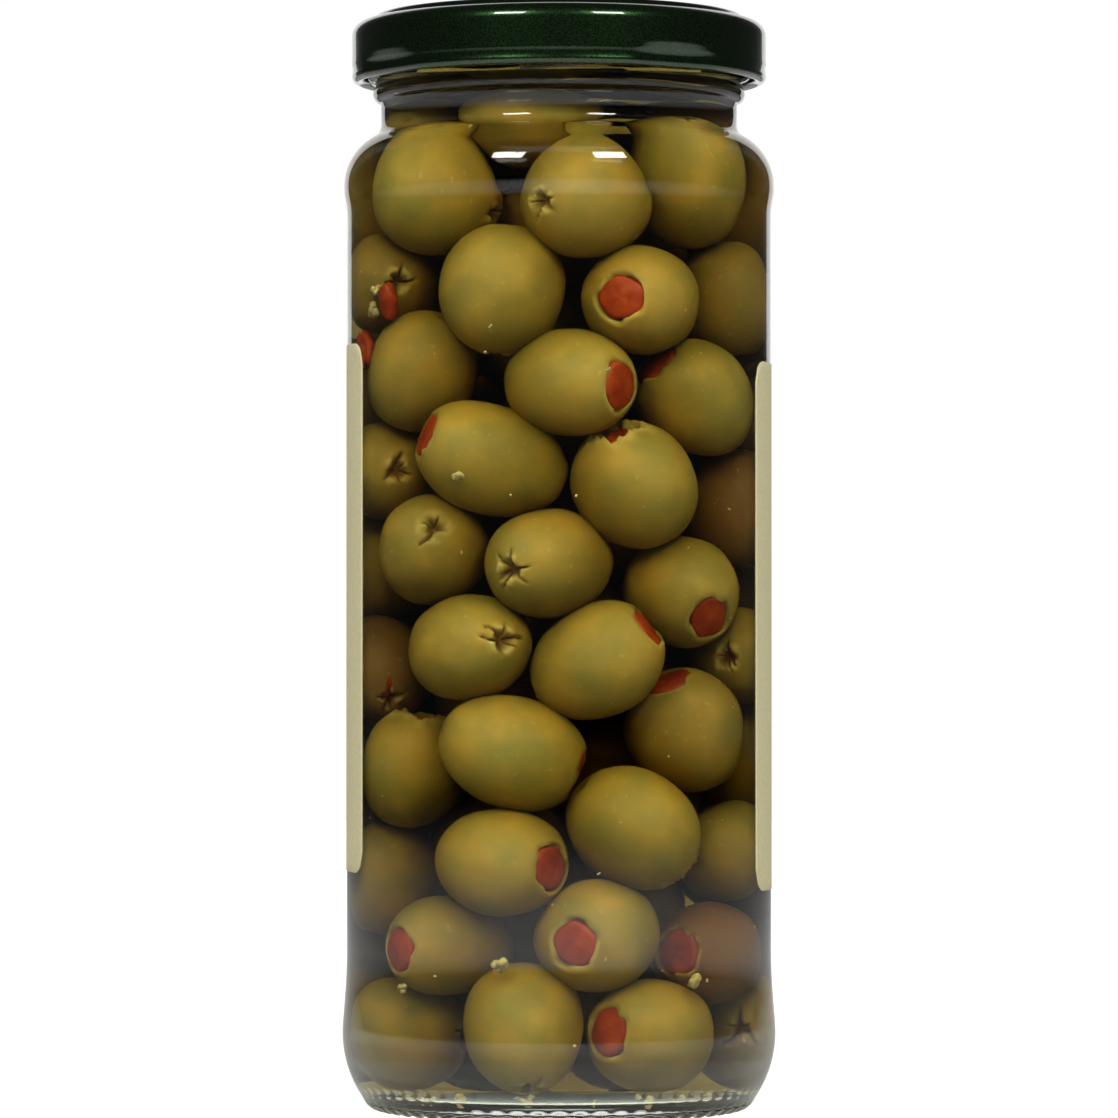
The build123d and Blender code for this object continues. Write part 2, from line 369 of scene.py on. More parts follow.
def jar_glass():
    """The jar as one closed skin: outside up, over the rim, and down the inside."""
    ring, ring_z, ring_arc, push_up = 29.22, 2.6, 2.2, 2.5
    heel_arc, heel_z, lean, blend_arc, blend_top = 18.2, 12.23, 4.5, 89.0, 25.68
    knurl_top, knurl_reach, knurl_depth = 1.7, 1.9, 0.4
    bump_rise, lip_arc = 5.0, 1.1
    ring_foot = arc(ring, ring_z, ring_arc, -140, -37, 18)
    outside = bezier((0, push_up), (9, push_up), (ring_foot[0][0] - 1.1, 1.95), ring_foot[0], 20)
    outside += ring_foot
    outside += arc(HEEL - heel_arc, heel_z, heel_arc, -37, lean, 30)
    outside += arc(BODY + blend_arc, blend_top, blend_arc, 180 + lean, 180, 16)
    foot = SHOULDER_FOOT - bump_rise
    middle = foot + bump_rise / 2
    outside += [(BODY, z) for z in np.linspace(blend_top + 1, foot - 0.5, 40)]
    outside += bezier((BODY, foot), (BODY, middle), (BUMP, middle), (BUMP, SHOULDER_FOOT), 16)
    outside += arc(BUMP - SHOULDER_ARC, SHOULDER_FOOT, SHOULDER_ARC, 0, SLOPE, 20)
    outside += arc(NECK + NECK_FILLET, SHOULDER_TOP, NECK_FILLET, 180 + SLOPE, 180, 12)
    low_turn = -math.degrees(math.acos((NECK - BEAD + BEAD_ARC) / BEAD_ARC))
    high_turn = math.degrees(math.acos((FINISH - BEAD + BEAD_ARC) / BEAD_ARC))
    outside += arc(BEAD - BEAD_ARC, BEAD_MIDDLE, BEAD_ARC, low_turn, high_turn, 14)
    outside += [(FINISH, z) for z in np.linspace(BEAD_MIDDLE + 1.3, RIM - 1.2, 44)]
    outside += arc(FINISH - lip_arc, RIM - lip_arc, lip_arc, 0, 90, 8)
    inside = inside_profile(RIM - lip_arc, 0.0)
    lip = arc(BORE + lip_arc, RIM - lip_arc, lip_arc, 90, 180, 8)

    def moulded(points, turn, r, z):
        """The knurls under the bearing ring, and the four thread starts that the lugs hook under."""
        out = points.copy()
        if z < knurl_top:
            tooth = np.clip(1.4 * np.cos(KNURLS * turn) + 0.7, 0, 1)
            out[:, 2] -= knurl_depth * tooth * math.exp(-((r - ring) / knurl_reach) ** 2)
        if abs(r - FINISH) < 0.01:
            push = np.zeros_like(turn)
            for start in range(4):
                along = np.degrees(turn - math.radians(THREAD_START + 90 * start)) % 360
                crest = BEAD_MIDDLE + THREAD_RISE + THREAD_DROP * along / THREAD_SPAN
                ridge = np.sqrt(np.clip(1 - ((z - crest) / THREAD_ARC) ** 2, 0, 1))
                ridge = ridge * (along < THREAD_SPAN)
                push = np.maximum(push, ridge * THREAD_OUT)
            out[:, :2] *= (1 + push / r)[:, None]
        return out

    skin, segments = outside + lip, 480
    jar = make_mesh("jar_glass", *lathe(skin + list(reversed(inside)), segments, moulded))
    jar.data.materials.append(soda_lime_glass())
    jar.data.materials.append(wetted_glass())
    # The inner face comes after the outer one and the rim, and brine wets it from the floor to its level
    dry = (len(clean(skin)) - 1) * segments
    for face in jar.data.polygons:
        if face.index >= dry and FLOOR - 0.6 < face.center.z / MM < BRINE_TOP:
            face.material_index = 1
    return jar


def brine_body():
    """The brine, which reaches just into the glass so that no air shows between them."""
    points = inside_profile(BRINE_TOP, 0.12)
    points[-1] = (points[-1][0], BRINE_TOP)
    surface = [(BORE - 1.0, BRINE_TOP - 0.3), (BORE - 4.0, BRINE_TOP - 0.4), (0, BRINE_TOP - 0.4)]
    verts, faces = lathe(points + surface, 192)
    return make_mesh("brine", verts, faces)


# ---- Lid ----
def drawn_lid():
    """The lid's sheet: raised panel, rounded shoulder, skirt, rolled curl, and back up its inside."""
    sheet, curl, turn_over = 0.25, 1.0, 2.4
    channel = LID_TOP - 1.0
    edge_end, edge_start = SKIRT - 2.9, SKIRT - 4.3
    middle = (edge_start + edge_end) / 2
    dent_top, dent_reach, dent_depth = LID_FOOT + 3.9, 8.0, 0.75
    lug_top, lug_reach, lug_depth = LID_FOOT + 1.6, 5.5, 0.7
    outer = [(0, LID_TOP), (8, LID_TOP), (16, LID_TOP), (24, LID_TOP), (edge_start - 0.5, LID_TOP)]
    outer += bezier((edge_start, LID_TOP), (middle, LID_TOP), (middle, channel), (edge_end, channel), 12)
    outer += arc(SKIRT - turn_over, channel - turn_over, turn_over, 90, 0, 16)
    outer += [(SKIRT, z) for z in np.linspace(channel - 3.0, LID_FOOT + 2.6, 10)]
    outer += [(SKIRT - 0.12, LID_FOOT + 2.25)]
    outer += arc(SKIRT - curl, LID_FOOT + curl, curl, 20, -180, 22)
    outer += [(SKIRT - 1.2, LID_FOOT + 1.9), (SKIRT - sheet, LID_FOOT + 2.6)]
    outer += arc(SKIRT - turn_over, channel - turn_over, turn_over - sheet, 0, 90, 10)
    under = bezier((edge_end, channel - sheet), (middle, channel - sheet), (middle, LID_TOP - sheet),
                   (edge_start, LID_TOP - sheet), 8)
    outer += under + [(0, LID_TOP - sheet)]
    dents = [math.radians(LUG_START + 90 * lug) for lug in range(4)]

    def pressed(points, turn, r, z):
        """The curl pushed in to make the lugs, with a shallow flat outside each."""
        out = points.copy()
        if r < SKIRT - 3 or z > dent_top:
            return out
        high = min(1.0, (dent_top - z) / 2.0)
        for at in dents:
            away = np.abs((turn - at + math.pi) % (2 * math.pi) - math.pi) * SKIRT
            depth = dent_depth * high * np.clip(1 - (away / dent_reach) ** 2, 0, 1)
            if r < SKIRT - curl and z < lug_top:
                depth += lug_depth * np.clip(1 - (away / lug_reach) ** 4, 0, 1)
            out[:, :2] *= (1 - depth / r)[:, None]
        return out

    verts, faces = lathe(list(reversed(outer)), 360, pressed)
    return make_mesh("lid_sheet", verts, faces)


# ---- Label ----
def paper_label():
    """The paper wrap round the back, with rounded corners."""
    height, wrap, corner, lean, middle = 83.8, 228.0, 3.5, 1.5, 78.5
    thick, stand_off = 0.11, 0.005
    length = math.radians(wrap) * BODY
    columns, rows = 160, 60
    verts, faces = [], []
    for side in (0, 1):
        radius = BODY + stand_off + thick * side
        for along in np.linspace(-length / 2, length / 2, columns + 1):
            end = length / 2 - abs(along)
            cut = corner - math.sqrt(max(0.0, corner ** 2 - (corner - end) ** 2)) if end < corner else 0.0
            turn = math.pi / 2 + along / BODY
            shift = lean * math.cos(turn)
            for v in np.linspace(-height / 2 + cut, height / 2 - cut, rows + 1):
                verts.append((radius * math.cos(turn), radius * math.sin(turn), middle - shift + v))
    column = rows + 1
    back = (columns + 1) * column
    for i in range(columns):
        for k in range(rows):
            a, b = i * column + k, (i + 1) * column + k
            faces.append((a, a + 1, b + 1, b))
            faces.append((back + a, back + b, back + b + 1, back + a + 1))
    edge = [i * column for i in range(columns)] + [columns * column + k for k in range(rows)]
    edge += [i * column + rows for i in range(columns, 0, -1)] + list(range(rows, 0, -1))
    for a, b in zip(edge, edge[1:] + edge[:1]):
        faces.append((a, b, back + b, back + a))
    return make_mesh("paper_label", verts, faces)


# ---- Olives ----
# Each olive that lies against the glass: its place round the jar (degrees from the front, towards the
# right) and height, the way its first end points (lie: 0 right, 90 up; out: towards the glass), its
# length and thickness, what its two ends are, and how brown it is.
PLUG, STAR, PLAIN, TORN, STAR_RED = "plug", "star", "plain", "torn", "star_red"
AT_THE_GLASS = [
    (-5, 157.9, 0, 0, 21, 16.0, PLAIN, PLAIN, 0.1),
    (-52.5, 146.4, -20, -25, 20, 18.2, STAR, PLAIN, 0.0),
    (5, 145.7, 180, 42, 20, 17.6, STAR, PLAIN, 0.1),
    (54.5, 146.2, 100, 12, 20.5, 17.6, STAR, PLAIN, 0.0),
    (-75, 133.1, 0, 15, 19, 16.0, STAR_RED, PLUG, 0.3),
    (-24, 128.7, 85, 0, 20.5, 18.4, PLAIN, STAR, 0.05),
    (26, 128.8, 180, 46, 19, 17.0, PLUG, PLAIN, 0.1),
    (75, 129.6, 95, 0, 19, 16.5, PLAIN, PLUG, 0.35),
    (-49, 118.0, 60, 0, 19.5, 17.2, PLAIN, PLUG, 0.1),
    (3, 114.8, -5, 38, 20, 16.6, PLUG, PLAIN, 0.0),
    (54, 114.1, 142, -15, 20, 17.2, PLUG, PLAIN, 0.0),
    (-71, 103.8, 0, 20, 18, 15.6, STAR, PLAIN, 0.1),
    (-23, 102.7, 155, 26, 23, 17.2, PLUG, PLAIN, 0.0),
    (29.5, 99.6, 122, 10, 20.5, 18.2, TORN, PLAIN, 0.0),
    (86, 95.6, 90, 0, 20, 16.0, PLAIN, PLUG, 0.8),
    (-51.6, 88.7, 30, 40, 19, 17.0, STAR, PLAIN, 0.1),
    (-3, 86.8, 192, 58, 21, 16.8, STAR_RED, PLUG, 0.1),
    (46.5, 84.5, -95, 60, 19, 17.0, PLUG, PLAIN, 0.05),
    (-83, 70.2, -30, 10, 19, 16.0, STAR_RED, PLAIN, 0.75),
    (-35, 72.4, 8, 30, 21, 16.8, STAR_RED, PLUG, 0.0),
    (15.5, 71.3, 40, 20, 20.5, 17.2, PLUG, STAR, 0.0),
    (71, 71.8, 180, 20, 18, 15.6, STAR, PLAIN, 0.1),
    (-64, 55.1, 70, 0, 19, 17.0, TORN, PLAIN, 0.1),
    (-11.8, 56.0, 160, 10, 22, 17.4, PLAIN, PLUG, 0.0),
    (47.3, 60.0, 120, 5, 20, 18.0, PLUG, PLAIN, 0.25),
    (-76, 35.7, 80, 0, 18.5, 16.0, PLAIN, PLUG, 0.2),
    (-26.7, 41.0, -5, 10, 20, 17.0, PLUG, PLAIN, 0.0),
    (26, 46.1, -40, 5, 21, 17.6, TORN, PLAIN, 0.0),
    (75, 41.7, 10, 10, 18.5, 15.6, STAR, PLAIN, 0.1),
    (-39.2, 26.4, 186, 62, 20, 16.2, PLUG, PLAIN, 0.15),
    (10.8, 29.8, 190, 56, 19, 17.8, PLUG, PLAIN, 0.05),
    (63.5, 25.2, 175, 0, 20, 16.4, PLUG, PLAIN, 0.9),
    (-62, 11.8, -5, -35, 19, 16.2, STAR, PLAIN, 0.0),
    (-10.8, 13.6, -80, 24, 20, 17.2, STAR, PLAIN, 0.0),
    (33.5, 12.4, 175, 15, 20, 16.6, PLUG, PLAIN, 0.05),
    (93, 12.2, 180, 5, 19, 16.0, STAR_RED, PLUG, 0.2),
]
LOOSE_OLIVES = 52
LOWEST, HIGHEST = 12, 158
INTO_THE_NECK = 150
# The front olives give way this much as easily as those behind, so that they stay where they are put
FRONT_EASE = 0.06
# Settling: each olive is three balls in a row, the end ones this share of its thickness
END_BALL = 0.39
SETTLING_STEPS, PUSH_RATE, PULL_RATE = 500, 0.35, 0.5
ROOM_HEIGHTS = (FLOOR, FLOOR + 1, FLOOR + 3, FLOOR + 6, SHOULDER_FOOT, SHOULDER_TOP)
ROOM_RADII = (INSIDE - 6, INSIDE - 2.7, INSIDE - 0.8, INSIDE, INSIDE, BORE)


def directions(turn):
    """Outward, sideways and up at a place round the jar, turn in radians from the front."""
    outward = np.array([math.sin(turn), -math.cos(turn), 0])
    sideways = np.array([math.cos(turn), math.sin(turn), 0])
    return outward, sideways, np.array([0.0, 0.0, 1.0])


def olives_at_the_glass():
    """The front olives: middle, axis, length, thickness, two ends, brownness and ease of moving."""
    olives = []
    for place, height, lie, out, length, thick, first, second, brown in AT_THE_GLASS:
        outward, sideways, up = directions(math.radians(place))
        lie, out = math.radians(lie), math.radians(out)
        axis = math.cos(out) * (math.cos(lie) * sideways + math.sin(lie) * up) + math.sin(out) * outward
        deep = thick / 2 + (length - thick) / 2 * abs(math.sin(out))
        reach = (INSIDE if height < INTO_THE_NECK else BORE) - deep - 0.2
        middle = outward * reach + up * height
        olives.append([middle, axis, length, thick, first, second, brown, FRONT_EASE])
    return olives


def olives_behind():
    """The olives that the front ones hide, scattered from the floor up, most of them towards the back."""
    olives = []
    kinds = [PLUG, PLAIN, STAR, STAR_RED]
    for k in range(LOOSE_OLIVES):
        turn = rng.uniform(0, 2 * math.pi)
        if k % 5 > 1:
            turn = rng.uniform(math.radians(100), math.radians(260))
        distance = rng.uniform(2, 22)
        outward, sideways, up = directions(turn)
        height = LOWEST + (HIGHEST - LOWEST) * (k + 0.5) / LOOSE_OLIVES
        axis = rng.normal(size=3)
        axis /= np.linalg.norm(axis)
        length, thick = rng.uniform(18.5, 21.5), rng.uniform(15.6, 17.4)
        brown = rng.choice([0.0, 0.1, 0.2, 0.7])
        olives.append([outward * distance + up * height, axis, length, thick,
                       kinds[rng.integers(4)], kinds[rng.integers(4)], brown, 1.0])
    return olives


def settled_olives():
    """Every olive, pushed off its neighbours and back from the glass, a little at a time."""
    olives = olives_at_the_glass() + olives_behind()
    middles = np.array([o[0] for o in olives])
    axes = np.array([o[1] for o in olives])
    lengths = np.array([o[2] for o in olives])
    thicks = np.array([o[3] for o in olives])
    ease = np.array([o[7] for o in olives])
    count = len(olives)
    offsets = np.array([-1.0, 0.0, 1.0])
    balls = np.stack([thicks * END_BALL, thicks * 0.5, thicks * END_BALL], 1)
    arm = (lengths / 2 - thicks * END_BALL)[:, None] * offsets[None, :]
    owner = np.repeat(np.arange(count), 3)
    radii = balls.reshape(-1)
    same = owner[:, None] == owner[None, :]
    for _ in range(SETTLING_STEPS):
        points = (middles[:, None, :] + axes[:, None, :] * arm[:, :, None]).reshape(-1, 3)
        gap = points[:, None, :] - points[None, :, :]
        distance = np.linalg.norm(gap, axis=2) + 1e-9
        overlap = radii[:, None] + radii[None, :] - distance
        overlap[same] = 0
        overlap = np.clip(overlap, 0, None)
        share = ease[owner][:, None] / (ease[owner][:, None] + ease[owner][None, :])
        push = (gap / distance[:, :, None] * (overlap * share)[:, :, None]).sum(1)
        move = np.zeros_like(middles)
        np.add.at(move, owner, push * PUSH_RATE)
        middles += move
        points = (middles[:, None, :] + axes[:, None, :] * arm[:, :, None]).reshape(-1, 3)
        across = np.linalg.norm(points[:, :2], axis=1) + 1e-9
        room = np.interp(points[:, 2], ROOM_HEIGHTS, ROOM_RADII) - radii - 0.15
        over = np.clip(across - room, 0, None)
        pull = np.zeros_like(points)
        pull[:, :2] = -points[:, :2] / across[:, None] * over[:, None]
        low = FLOOR + FLOOR_DOME + radii + 0.1
        pull[:, 2] += np.clip(low - points[:, 2], 0, None)
        pull[:, 2] -= np.clip(points[:, 2] + radii - (BRINE_TOP - 1.5), 0, None)
        move = np.zeros_like(middles)
        np.add.at(move, owner, pull * PULL_RATE)
        middles += move
    for olive, middle in zip(olives, middles):
        olive[0] = middle
    return olives


def end_shape(kind, distance, turn, seed):
    """How far an olive's end sinks at a distance from its axis, with its painted shade (cut) and flesh
    marks.
    """
    marks = np.random.default_rng(seed)
    sink = 0.5 * np.exp(-(distance / 1.1) ** 2)
    # cut is painted shade: it darkens each end where it sinks
    cut = 0.5 * np.exp(-(distance / 0.7) ** 2)
    flesh = np.zeros_like(distance)
    if kind == PLUG:
        edge = 3.75 + 0.25 * np.sin(2 * turn + marks.uniform(0, 6))
        edge += 0.15 * np.sin(5 * turn + marks.uniform(0, 6))
        inside = np.clip((edge - distance) / 0.45, 0, 1)
        sink = 1.7 * inside
        cut = 0.35 * inside
        flesh = 0.6 * np.exp(-((distance - edge) / 0.28) ** 2)
    if kind in (STAR, STAR_RED):
        arms = marks.integers(4, 7)
        start = marks.uniform(0, 6)
        slit = np.zeros_like(distance)
        for k in range(arms):
            at = start + 2 * math.pi * k / arms + marks.uniform(-0.4, 0.4)
            at = at + marks.uniform(-0.2, 0.2) * distance
            reach = marks.uniform(1.5, 3.7)
            off = np.abs((turn - at + math.pi) % (2 * math.pi) - math.pi) * distance
            width = marks.uniform(0.25, 0.5) * np.clip(1.15 - distance / reach, 0.05, 1)
            slit = np.maximum(slit, np.exp(-(off / width) ** 2) * (distance < reach))
        hole = marks.uniform(1.0, 1.5) + 0.3 * np.sin(3 * turn + marks.uniform(0, 6))
        slit = np.maximum(slit, np.exp(-(distance / hole) ** 4))
        torn = np.sin(4 * turn + marks.uniform(0, 6)) + np.sin(2.6 * distance + marks.uniform(0, 6))
        torn = np.clip(torn, 0, 1)
        lip = np.exp(-((distance - 1.9) / 0.7) ** 2) * torn * (1 - slit)
        sink = 1.5 * slit - 0.3 * lip
        cut = 0.85 * slit
        flesh = np.clip(0.9 * lip + 0.3 * np.clip(1 - distance / 3.4, 0, 1), 0, 1) * (1 - slit)
    if kind == TORN:
        edge = 3.6 + 1.2 * np.sin(turn + marks.uniform(0, 6))
        edge += 0.5 * np.sin(4 * turn + marks.uniform(0, 6)) + 0.35 * np.sin(9 * turn)
        inside = np.clip((edge - distance) / 0.5, 0, 1)
        sink = 1.3 * inside - 0.35 * np.exp(-((distance - edge) / 0.5) ** 2)
        cut = 0.25 * inside
        flesh = np.clip(np.exp(-((distance - edge) / 0.9) ** 2) + 0.7 * inside, 0, 1)
    return sink, cut, flesh


def olive_body(length, thick, first, second, seed, rings, segments):
    """One olive along its own axis: an uneven egg with its two worked ends."""
    shape = np.random.default_rng(seed)
    share = np.linspace(0, 1, rings)
    polar = math.pi * (share - 0.11 * np.sin(2 * math.pi * share) / (2 * math.pi) * 2.2)
    turn = np.linspace(0, 2 * math.pi, segments, endpoint=False)
    p, t = np.meshgrid(polar, turn, indexing="ij")
    along = np.cos(p)
    across = np.sin(p) ** 0.94
    egg = 1 + shape.uniform(-0.05, 0.05) * along
    lumps = 1 + 0.012 * np.sin(2 * t + shape.uniform(0, 6))
    lumps += 0.012 * np.sin(3 * t + 4 * along + shape.uniform(0, 6))
    lumps += 0.008 * np.sin(5 * t - 6 * along + shape.uniform(0, 6))
    radius = thick / 2 * across * egg * lumps
    place = length / 2 * along
    marks = np.zeros(p.shape + (4,))
    for kind, sign, more in ((first, 1, 1), (second, -1, 2)):
        half = along * sign > 0
        sink, cut, flesh = end_shape(kind, radius, t, seed * 3 + more)
        place = np.where(half, place - sign * sink * np.clip(np.abs(along) * 1.6 - 0.4, 0, 1), place)
        # Red carries the painted shade of the sunken ends
        marks[..., 0] = np.where(half, cut, marks[..., 0])
        marks[..., 1] = np.where(half, flesh, marks[..., 1])
    verts = np.stack([place, radius * np.cos(t), radius * np.sin(t)], 2).reshape(-1, 3)
    return verts, ring_faces(rings, segments), marks.reshape(-1, 4)


PLUG_RADIUS = 3.95


def plug_body(seed, depth):
    """A pimiento plug: a low dome with an uneven edge, as seen in an olive's end."""
    shape = np.random.default_rng(seed)
    rings, segments = 7, 22
    dome, skirt = 0.45, 1.4
    turn = np.linspace(0, 2 * math.pi, segments, endpoint=False)
    wave = 1 + 0.06 * np.sin(2 * turn + shape.uniform(0, 6))
    wave += 0.04 * np.sin(5 * turn + shape.uniform(0, 6))
    verts, faces = [(depth + dome, 0, 0)], []
    for k in range(1, rings + 1):
        share = k / rings
        radius = PLUG_RADIUS * share * wave
        height = depth + dome * (1 - share ** 2) - (skirt if k == rings else 0)
        height = height + 0.06 * np.sin(3 * turn + 5 * share)
        verts += list(np.stack([height + 0 * turn, radius * np.cos(turn), radius * np.sin(turn)], 1))
    for i in range(segments):
        j = (i + 1) % segments
        faces.append((0, 1 + i, 1 + j))
        for k in range(rings - 1):
            a, b = 1 + k * segments, 1 + (k + 1) * segments
            faces.append((a + i, b + i, b + j, a + j))
    last = 1 + (rings - 1) * segments
    faces.append(tuple(last + i for i in reversed(range(segments))))
    return np.array(verts, dtype=float), faces


def turned(verts, middle, axis, spin):
    """Points along +X turned to an axis, spun about it and moved to a place."""
    side = np.cross(axis, (0.0, 0.0, 1.0) if abs(axis[2]) < 0.9 else (0.0, 1.0, 0.0))
    side /= np.linalg.norm(side)
    other = np.cross(axis, side)
    a, b = math.cos(spin) * side + math.sin(spin) * other, -math.sin(spin) * side + math.cos(spin) * other
    return verts[:, :1] * axis + verts[:, 1:2] * a + verts[:, 2:3] * b + middle


class Heap:
    """Gathers many small bodies into one mesh."""

    def __init__(self):
        self.verts, self.faces, self.marks, self.count = [], [], [], 0

    def put(self, verts, faces, marks=None):
        self.verts.append(verts)
        self.faces += [tuple(i + self.count for i in f) for f in faces]
        self.marks.append(np.zeros((len(verts), 4)) if marks is None else marks)
        self.count += len(verts)

    def build(self, name):
        piece = make_mesh(name, np.concatenate(self.verts), self.faces)
        colour = piece.data.color_attributes.new("marks", "FLOAT_COLOR", "POINT")
        colour.data.foreach_set("color", np.concatenate(self.marks).astype(np.float32).ravel())
        return piece


def inward_shift(points):
    """How far a body has to move, and which way, to lie just inside the glass."""
    across = np.linalg.norm(points[:, :2], axis=1)
    room = np.interp(points[:, 2], ROOM_HEIGHTS, ROOM_RADII) - 0.12
    worst = np.argmax(across - room)
    over = max(0.0, across[worst] - room[worst])
    return np.array([-points[worst, 0], -points[worst, 1], 0.0]) / across[worst] * over


# Pimiento that has come loose: place, height, half its width, and how deep it lies behind the glass
LOOSE_PIMIENTO = [
    (-59, 128.0, 2.93, 1.6),
    (-73, 121.0, 3.72, 1.4),
    (29, 69.5, 2.93, 5.5),
    (-67, 68.5, 2.26, 4.5),
    (86, 14.5, 3.39, 2.0),
]
# How deep each kind of end holds its pimiento, from the olive's tip, and how much of it is left
PLUG_DEPTH = {PLUG: 1.25, TORN: 1.6, STAR_RED: 2.1}
PLUG_SHARE = {PLUG: 1.0, TORN: 0.7, STAR_RED: 0.4}


def stuffed_olives():
    """All the olives as one piece and all their pimiento as another."""
    skins, plugs = Heap(), Heap()
    for n, (middle, axis, length, thick, first, second, brown, _) in enumerate(settled_olives()):
        shown = n < len(AT_THE_GLASS)
        rings, segments = (34, 60) if shown else (17, 28)
        spin = rng.uniform(0, 6)
        verts, faces, marks = olive_body(length, thick, first, second, n + 11, rings, segments)
        marks[:, 2] = brown
        marks[:, 3] = 1
        body = turned(verts, middle, axis, spin)
        shift = inward_shift(body)
        middle = middle + shift
        skins.put(body + shift, faces, marks)
        for kind, sign in ((first, 1.0), (second, -1.0)):
            if kind in PLUG_DEPTH:
                body, body_faces = plug_body(n * 2 + (sign > 0), length / 2 - PLUG_DEPTH[kind])
                body[:, 1:] *= PLUG_SHARE[kind]
                plugs.put(turned(body, middle, axis * sign, spin), body_faces)
    for n, (place, height, size, deep) in enumerate(LOOSE_PIMIENTO):
        outward, sideways, up = directions(math.radians(place))
        body, body_faces = plug_body(n + 400, 0.0)
        body[:, 1] *= size / PLUG_RADIUS
        body[:, 2] *= size / PLUG_RADIUS * rng.uniform(0.6, 1.0)
        axis = outward + 0.4 * rng.uniform(-1, 1) * up
        axis /= np.linalg.norm(axis)
        middle = outward * (INSIDE - deep) + up * height
        plugs.put(turned(body, middle, axis, rng.uniform(0, 6)), body_faces)
    return skins.build("olives"), plugs.build("pimiento_plugs")


def flesh_crumbs():
    """Crumbs of olive flesh that lie on the floor of the jar and cling between the olives."""
    crumbs = Heap()
    # Place in degrees from the front, height and size: first the six large ones, then the scattered ones
    places = [(-17, 24.5, 1.3), (42, 21.5, 1.5), (-50, 20.3, 0.9)]
    places += [(-30, 100.6, 1.1), (-67, 127, 1.4), (-64, 130.0, 1.0)]
    for k in range(40):
        places.append((rng.uniform(-110, 250), FLOOR + rng.uniform(0.3, 1.2), rng.uniform(0.3, 0.9)))
    for k in range(70):
        places.append((rng.uniform(-110, 110), rng.uniform(10, 155), rng.uniform(0.15, 0.4)))
    rings, segments = 7, 9
    polar = np.linspace(0.05, math.pi - 0.05, rings)
    turn = np.linspace(0, 2 * math.pi, segments, endpoint=False)
    p, t = np.meshgrid(polar, turn, indexing="ij")
    faces = ring_faces(rings, segments)
    for place, height, size in places:
        outward, sideways, up = directions(math.radians(place))
        reach = INSIDE - 1.2 * size - (4.2 if height < 6 else 0.25)
        if height > 148:
            reach = BORE - 1.5
        for lump in range(5 if size > 0.8 else 2):
            rough = 0.62 * size * rng.uniform(0.6, 1.1, p.shape)
            across = rough * np.sin(p)
            body = np.stack([rough * np.cos(p), across * np.cos(t), across * np.sin(t)], 2)
            spread = rng.uniform(-0.55, 0.55, 3) * size
            crumbs.put(body.reshape(-1, 3) + outward * reach + up * height + spread, faces)
    return crumbs.build("flesh_crumbs")


# ---- Studio ----
FAR, NEAR = 1300, -3600
BACKDROP_HALF, TABLE_HALF = 650, 2600
TABLE_GREY = 0.82
# In metres, for the lamps and the camera
JAR_MIDDLE = 0.09
CAMERA_AWAY, CAMERA_HEIGHT, CAMERA_TILT = 0.9, 0.0779, 0.63


def looked_at(tree, mirrored=False):
    """1 where the camera looks, straight or through glass, and 0 for the light that falls on things."""
    path = add(tree, "ShaderNodeLightPath")
    turns = add(tree, "ShaderNodeMath", {0: path.outputs["Diffuse Depth"]})
    turns.inputs[1].default_value = 0
    if not mirrored:
        tree.links.new(path.outputs["Glossy Depth"], turns.inputs[1])
    first = add(tree, "ShaderNodeMath", {0: turns.outputs[0]}, operation="LESS_THAN")
    through = add(tree, "ShaderNodeMath", {0: path.outputs["Is Transmission Ray"], 1: first.outputs[0]},
                  operation="MULTIPLY")
    either = add(tree, "ShaderNodeMath", {0: path.outputs["Is Camera Ray"], 1: through.outputs[0]},
                 operation="MAXIMUM")
    return either.outputs[0]


def studio_air():
    """A weak even fill, nearly dark in reflections and white where it is looked at."""
    world = bpy.data.worlds.new("studio")
    bpy.context.scene.world = world
    world.use_nodes = True
    tree = world.node_tree
    tree.nodes.clear()
    fill = add(tree, "ShaderNodeBackground", Color=(1, 1, 1, 1), Strength=0.2)
    dark = add(tree, "ShaderNodeBackground", Color=(1, 1, 1, 1), Strength=0.03)
    white = add(tree, "ShaderNodeBackground", Color=(1, 1, 1, 1), Strength=1.0)
    path = add(tree, "ShaderNodeLightPath")
    lit = add(tree, "ShaderNodeMixShader", {0: path.outputs["Diffuse Depth"], 1: dark.outputs[0],
                                            2: fill.outputs[0]})
    seen = add(tree, "ShaderNodeMixShader", {0: looked_at(tree), 1: lit.outputs[0], 2: white.outputs[0]})
    add(tree, "ShaderNodeOutputWorld", {"Surface": seen.outputs[0]})


def white_backdrop():
    """A sheet of white behind the jar, no wider than the rims of the glass need to mirror."""
    corners = [(-BACKDROP_HALF, FAR, 0), (BACKDROP_HALF, FAR, 0), (BACKDROP_HALF, FAR, FAR),
               (-BACKDROP_HALF, FAR, FAR)]
    backdrop = make_mesh("backdrop", corners, [(0, 1, 2, 3)], smooth=False)
    material, tree, out = new_material("white_backdrop")
    glow = add(tree, "ShaderNodeEmission", Color=(1, 1, 1, 1), Strength=1.0)
    tree.links.new(glow.outputs[0], out.inputs["Surface"])
    backdrop.data.materials.append(material)
    return backdrop


